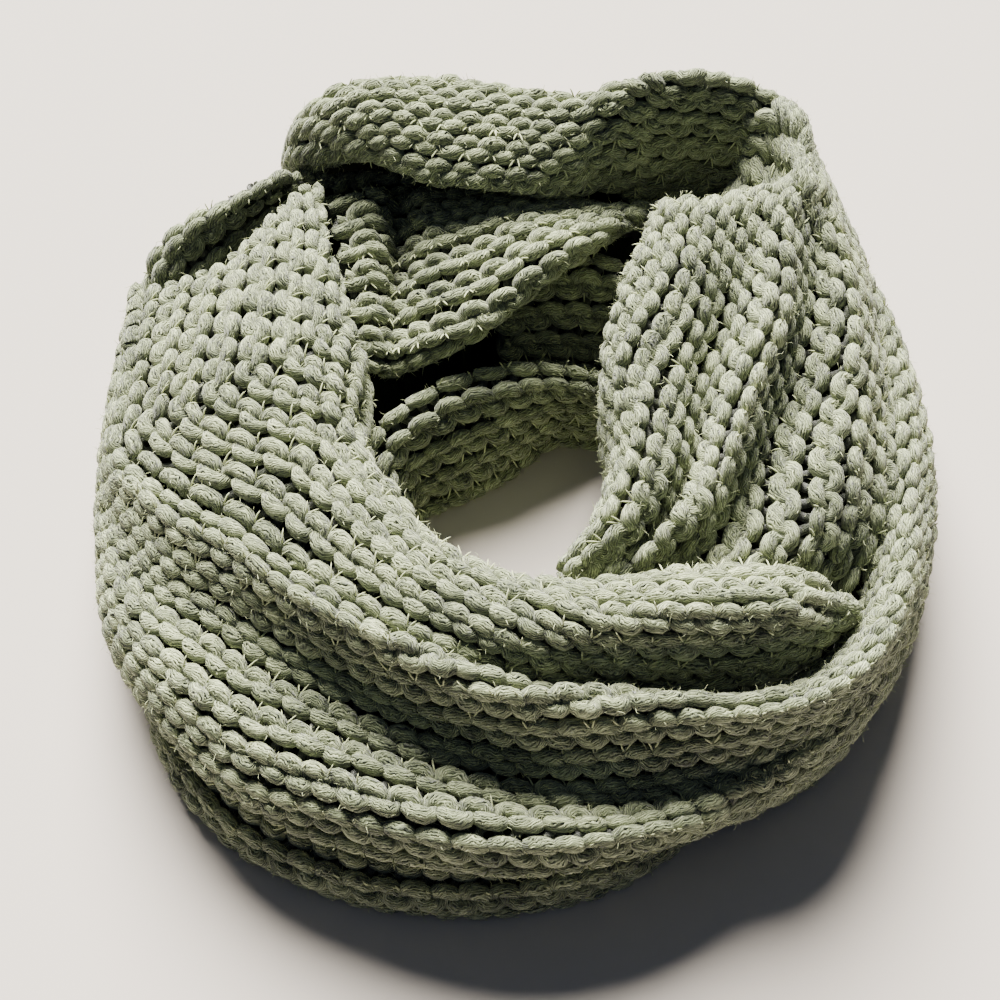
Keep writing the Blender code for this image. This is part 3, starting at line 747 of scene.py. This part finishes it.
def loopPath(stretch, values):
    # centre lines of the courses, as (courses, points, 3), the way out, and size, bump (also the mask of
    # the painted shade between rows), tone and extent
    rng = np.random.default_rng(stretch["seed"])
    surface, normal = clothSurface(stretch, values["stations"], values["across"])
    widths = np.linalg.norm(np.diff(surface, axis=1), axis=2).sum(axis=1)
    length = np.linalg.norm(np.diff(surface.mean(axis=1), axis=0), axis=1).sum()
    courses = stretch["courses"]
    spare = values["spareCourses"]
    rows = courses + 2 * spare
    stitches = round(length / values["stitchLength"])
    made = stitches + values["spareStitches"]
    pointsAlong = made * values["steps"] + 1
    t = np.linspace(0.0, made * 2 * math.pi, pointsAlong)[None, :].repeat(rows, axis=0)
    stitch = t / (2 * math.pi)

    share = np.linspace(0, 1, len(widths))
    uMiddle = np.clip(stitch / stitches, 0, 1)
    width = np.interp(uMiddle, share, widths)
    pitch = np.clip(width / courses, values["pitchLeast"], values["pitchMost"])
    number = np.arange(rows)[:, None] - spare
    start = stretch["held"] * width + (number + 0.5 - courses * stretch["held"]) * pitch

    q = values["flatTop"]
    lift = (np.cos(t) - q * np.cos(3 * t)) / (1 - q)
    knots = made + 1
    size = 1 + wavering(rng, rows, 2 * made + 1, pointsAlong, values["sizeSpread"])
    size = size + wavering(rng, rows, values["lumpKnots"] * made, pointsAlong, values["lumps"])
    y = start + values["loopReach"] * pitch * lift + values["slant"] * np.sin(2 * t)
    y = y + wavering(rng, rows, knots, pointsAlong, values["wander"])
    before = stretch.get("before", 0.0)
    x = (stitch / stitches - before) * length + values["loopSpread"] * np.sin(2 * t)
    x = x + wavering(rng, rows, knots, pointsAlong, values["wander"])
    bump = 0.5 + 0.5 * np.cos(2 * t)
    z = values["rise"] * (1 - 2 * (1 - bump) ** values["dip"]) + values["sink"]
    z = z + wavering(rng, rows, knots, pointsAlong, values["heave"])

    u = x / length
    v = y / width
    out = unit(sampled(normal, np.clip(u, 0, 1), np.clip(v, 0, 1)))
    centre = sampled(surface, u, v) + out * z[..., None]
    thicker = (values["bumpRadius"] - values["legRadius"]) * bump ** values["swell"]
    radius = (values["legRadius"] + thicker) * size
    inside = (y > -values["edgeSpare"]) & (y < width + values["edgeSpare"])
    inside &= u > values["endSpare"] - before
    inside &= u < 1 - values["endSpare"] + stretch.get("past", 0.0)
    # bump also masks the painted shade between rows, which fades out near the edges
    nearEdge = np.clip(1 - np.minimum(y, width - y) / values["edgeLight"], 0, 1)
    bump = np.maximum(bump, nearEdge)
    tone = rng.uniform(0, 1, (rows, 2 * made + 2))
    which = np.clip(np.round(stitch * 2).astype(int), 0, 2 * made + 1)
    tone = np.take_along_axis(tone, which, axis=1)
    return centre, out, radius, bump, tone, inside


def makeYarn(name, stretch, values):
    centre, out, radius, bump, tone, inside = loopPath(stretch, values)
    rows, count = centre.shape[:2]
    sides = values["sides"]
    ahead = np.gradient(centre, axis=1)
    step = np.linalg.norm(ahead, axis=2)
    ahead /= step[..., None]
    sideways = unit(np.cross(out, ahead))
    outNow = np.cross(ahead, sideways)
    along = np.cumsum(step, axis=1)

    # the yarn that shows
    seen = np.zeros((rows, count), bool)
    every = sight["every"]
    lifted = toModel(centre + out * sight["lift"])
    for r in range(rows):
        for p in range(0, count, every):
            if inside[r, p] and inSight(lifted[r, p], out[r, p]):
                seen[r, max(0, p - every):p + every + 1] = True
    kept = (seen & inside)[:, :-1] & (seen & inside)[:, 1:]

    angle = 2 * math.pi * np.arange(sides) / sides - math.pi / 2
    wide = radius[..., None] * np.cos(angle)
    tall = radius[..., None] * np.sin(angle) * values["flatten"]
    ring = centre[:, :, None] + sideways[:, :, None] * wide[..., None]
    ring += outNow[:, :, None] * tall[..., None]
    points = toModel(ring.reshape(-1, 3))

    r, p = np.nonzero(kept)
    base = ((r * count + p) * sides)[:, None]
    k = np.arange(sides)
    nextK = (k + 1) % sides
    quads = np.stack([base + k, base + sides + k, base + sides + nextK, base + nextK], axis=2)
    quads = quads.reshape(-1, 4)
    alongHere = along[r, p]
    alongNext = along[r, p + 1]
    uv = np.zeros((len(r), sides, 4, 2))
    uv[:, :, 0, 0] = uv[:, :, 3, 0] = alongHere[:, None]
    uv[:, :, 1, 0] = uv[:, :, 2, 0] = alongNext[:, None]
    uv[:, :, 0, 1] = uv[:, :, 1, 1] = k / sides
    uv[:, :, 2, 1] = uv[:, :, 3, 1] = (k + 1) / sides

    padded = np.pad(kept, ((0, 0), (1, 1)))
    begins = np.argwhere(~padded[:, :-1] & padded[:, 1:])
    ends = np.argwhere(padded[:, :-1] & ~padded[:, 1:])
    caps = [((a * count + b) * sides + k).tolist() for a, b in begins]
    caps += [((a * count + b) * sides + k[::-1]).tolist() for a, b in ends]

    used = np.unique(quads)
    renumber = np.full(len(points), -1)
    renumber[used] = np.arange(len(used))
    faces = renumber[quads].tolist() + [renumber[cap].tolist() for cap in caps]
    piece = newPiece(name, points[used], faces, yarnMaterial)
    layer = piece.data.uv_layers.new(name="yarn")
    corners = np.zeros((len(piece.data.loops), 2))
    corners[:uv.size // 2] = uv.reshape(-1, 2)
    layer.data.foreach_set("uv", corners.ravel())
    # bump sets the painted shade between rows in the yarn finish; tone is a random tone for each loop
    for label, value in (("bump", bump), ("tone", tone)):
        attribute = piece.data.attributes.new(label, "FLOAT", "POINT")
        attribute.data.foreach_set("value", np.repeat(value.ravel(), sides)[used].astype(np.float32))
    print(name, "triangles:", 2 * len(quads) + len(caps) * (sides - 2))
    return piece, {"centre": centre, "ahead": ahead, "sideways": sideways, "out": outNow,
                   "radius": radius, "kept": kept}


# Stray strands: thin ones pulled out between the rows, and short hairs all over.
strays = {
    "colour": (0.52, 0.56, 0.32, 1.0),
    "roughness": 0.9,
    "seedStep": 100,
    "tieShare": 0.75,  # the share of loops with a pair of them
    "tieLong": (3.4, 6.6),
    "tieRadius": 0.38,
    "tieTaper": (1.0, 0.95, 0.75),
    "tieOpening": (0.2, 0.75),
    "tieSides": 5,
    "tieLift": 1.1,  # where a pair starts, over the middle of the yarn
    "tieApart": 0.45,
    "tieOut": 0.12,
    "tieArch": ((0.0, 0.0), (0.35, 0.6), (0.7, 0.9), (1.0, 0.7)),  # shares of its length, and heights
    "hairs": 7.0,  # to half a loop
    "hairLong": (1.5, 5.0),
    "hairRadius": 0.12,
    "hairTaper": (1.0, 0.8),
    "hairSides": 3,
    "hairRound": 1.25,  # how far round the yarn they stand, in radians from its top
    "hairRoot": 0.92,  # share of the yarn's radius
    "hairLean": ((0.15, -1.0, -0.6), (0.8, 1.0, 0.6)),  # least and most: up, along and across
    "hairBend": 0.7,
}
strayMaterial = Finish("strayYarn", Roughness=strays["roughness"], Base_Color=strays["colour"],
                       Sheen_Weight=yarnValues["sheen"], Specular_IOR_Level=yarnValues["shine"]).material


def spindles(lines, radii, sides):
    # closed tapering tubes, one along each line, which end in a point
    ahead = unit(np.diff(lines, axis=1))
    anyWay = (0.31, 0.17, 0.94)
    one = unit(np.cross(ahead, anyWay))
    two = np.cross(ahead, one)
    angle = 2 * math.pi * np.arange(sides) / sides
    around = one[:, :, None] * np.cos(angle)[:, None] + two[:, :, None] * np.sin(angle)[:, None]
    rings = lines[:, :-1, None] + around * np.array(radii)[None, :, None, None]
    points = np.concatenate([rings.reshape(len(lines), -1, 3), lines[:, -1:]], axis=1)
    each = points.shape[1]
    k = np.arange(sides)
    nextK = (k + 1) % sides
    faces = [k[::-1].tolist()]
    for ring in range(len(radii) - 1):
        low = ring * sides
        faces += np.stack([low + k, low + nextK, low + sides + nextK, low + sides + k], axis=1).tolist()
    last = (len(radii) - 1) * sides
    faces += np.stack([last + k, last + nextK, np.full(sides, each - 1)], axis=1).tolist()
    allFaces = [[n * each + corner for corner in face] for n in range(len(lines)) for face in faces]
    return points.reshape(-1, 3), allFaces


def tieLines(frames, rng, values):
    # pairs of thin strands that open across the gap beside a row, from where two of its loops meet
    centre, kept = frames["centre"], frames["kept"]
    stitch = knit["steps"]
    half = stitch // 2
    lines = []
    for r in range(len(centre)):
        for p in range(stitch, kept.shape[1] - stitch, stitch):
            chance = rng.uniform()
            lengths = rng.uniform(*values["tieLong"], 2)
            openings = rng.uniform(*values["tieOpening"], 2)
            if chance > values["tieShare"] or not (kept[r, p - half] and kept[r, p + half - 1]):
                continue
            left, right = centre[r, p - half], centre[r, p + half]
            out = frames["out"][r, p]
            along = unit(right - left)
            across = unit((left + right) / 2 - centre[r, p])
            start = (left + right) / 2 + out * values["tieLift"]
            for sign, length, opening in zip((-1, 1), lengths, openings):
                way = unit(across + along * sign * opening + out * values["tieOut"])
                foot = start + along * sign * values["tieApart"]
                arch = values["tieArch"]
                lines.append([foot + way * length * share + out * lift for share, lift in arch])
    return np.array(lines).reshape(-1, len(values["tieArch"]), 3)


def hairLines(frames, rng, values):
    shown = np.argwhere(frames["kept"])
    count = int(values["hairs"] * len(shown) / (knit["steps"] / 2))
    r, p = shown[rng.integers(0, len(shown), count)].T
    ahead, sideways = frames["ahead"][r, p], frames["sideways"][r, p]
    turn = rng.uniform(-values["hairRound"], values["hairRound"], (count, 1))
    lift, lean, side = rng.uniform(*values["hairLean"], (count, 3)).T[..., None]
    away = sideways * np.sin(turn) + frames["out"][r, p] * np.cos(turn)
    first = unit(away * lift + ahead * lean + sideways * side)
    second = unit(first + rng.uniform(-values["hairBend"], values["hairBend"], (count, 3)))
    length = rng.uniform(*values["hairLong"], (count, 1)) / 2
    start = frames["centre"][r, p] + away * frames["radius"][r, p][:, None] * values["hairRoot"]
    return np.stack([start, start + first * length, start + (first + second) * length], axis=1)


def makeStrays(name, frames, seed, values):
    rng = np.random.default_rng(seed)
    ties = tieLines(frames, rng, values)
    hairs = hairLines(frames, rng, values)
    tieRadii = [values["tieRadius"] * share for share in values["tieTaper"]]
    hairRadii = [values["hairRadius"] * share for share in values["hairTaper"]]
    tiePoints, tieFaces = spindles(ties, tieRadii, values["tieSides"])
    hairPoints, hairFaces = spindles(hairs, hairRadii, values["hairSides"])
    faces = tieFaces + [[corner + len(tiePoints) for corner in face] for face in hairFaces]
    points = toModel(np.concatenate([tiePoints, hairPoints]))
    print(name, "triangles:", sum(len(face) - 2 for face in faces))
    return newPiece(name, points, faces, strayMaterial)


for name, stretch in sheets.items():
    yarn, frames = makeYarn(name + "_yarn", stretch, knit)
    stray = makeStrays(name + "_strays", frames, stretch["seed"] + strays["seedStep"], strays)
print("yarn knitted")


stageValues = {
    "floorSize": 80.0,  # metres, so that it reaches the horizon
    "floorColour": (0.53, 0.475, 0.445, 1.0),
    "floorRoughness": 0.8,
    "skyColour": (0.62, 0.76, 1.0, 1.0),
    "skyStrength": 0.12,
    "lightFrom": (-0.2, 1.2, 0.93),
    "lightPower": 27.0,
    "lightWidth": 40.0,  # degrees across, for soft shadows
    "lightColour": (1.0, 0.975, 0.87),
    "lookAt": (-6.1, 12.7, 0.0),
    "cameraAway": 848.0,
    "cameraHeight": 58.0,  # degrees over the floor
    "lens": 70.56,
    "sensor": 36.0,
}


def makeStage(values):
    half = values["floorSize"] / 2
    mesh = bpy.data.meshes.new("floor")
    corners = [(-half, -half, 0), (half, -half, 0), (half, half, 0), (-half, half, 0)]
    mesh.from_pydata(corners, [], [(0, 1, 2, 3)])
    floor = newObject("floor", mesh)
    plain = Finish("paleFloor", Roughness=values["floorRoughness"], Base_Color=values["floorColour"])
    mesh.materials.append(plain.material)
    light = bpy.data.lights.new("window", "SUN")
    light.energy = values["lightPower"]
    light.angle = math.radians(values["lightWidth"])
    light.color = values["lightColour"]
    window = newObject("window", light)
    window.location = values["lightFrom"]
    window.rotation_euler = (-Vector(values["lightFrom"])).to_track_quat("-Z", "Y").to_euler()
    world = bpy.data.worlds.new("sky")
    world.use_nodes = True
    background = world.node_tree.nodes["Background"]
    background.inputs["Color"].default_value = values["skyColour"]
    background.inputs["Strength"].default_value = values["skyStrength"]
    bpy.context.scene.world = world


def makeCamera(values):
    data = bpy.data.cameras.new("camera")
    data.lens = values["lens"]
    data.sensor_width = values["sensor"]
    camera = newObject("camera", data)
    up = math.radians(values["cameraHeight"])
    away = Vector((0.0, -math.cos(up), math.sin(up))) * values["cameraAway"]
    camera.location = (Vector(values["lookAt"]) + away) * mm
    camera.rotation_euler = (math.pi / 2 - up, 0.0, 0.0)
    bpy.context.scene.camera = camera


makeStage(stageValues)
makeCamera(stageValues)
print("stage set")
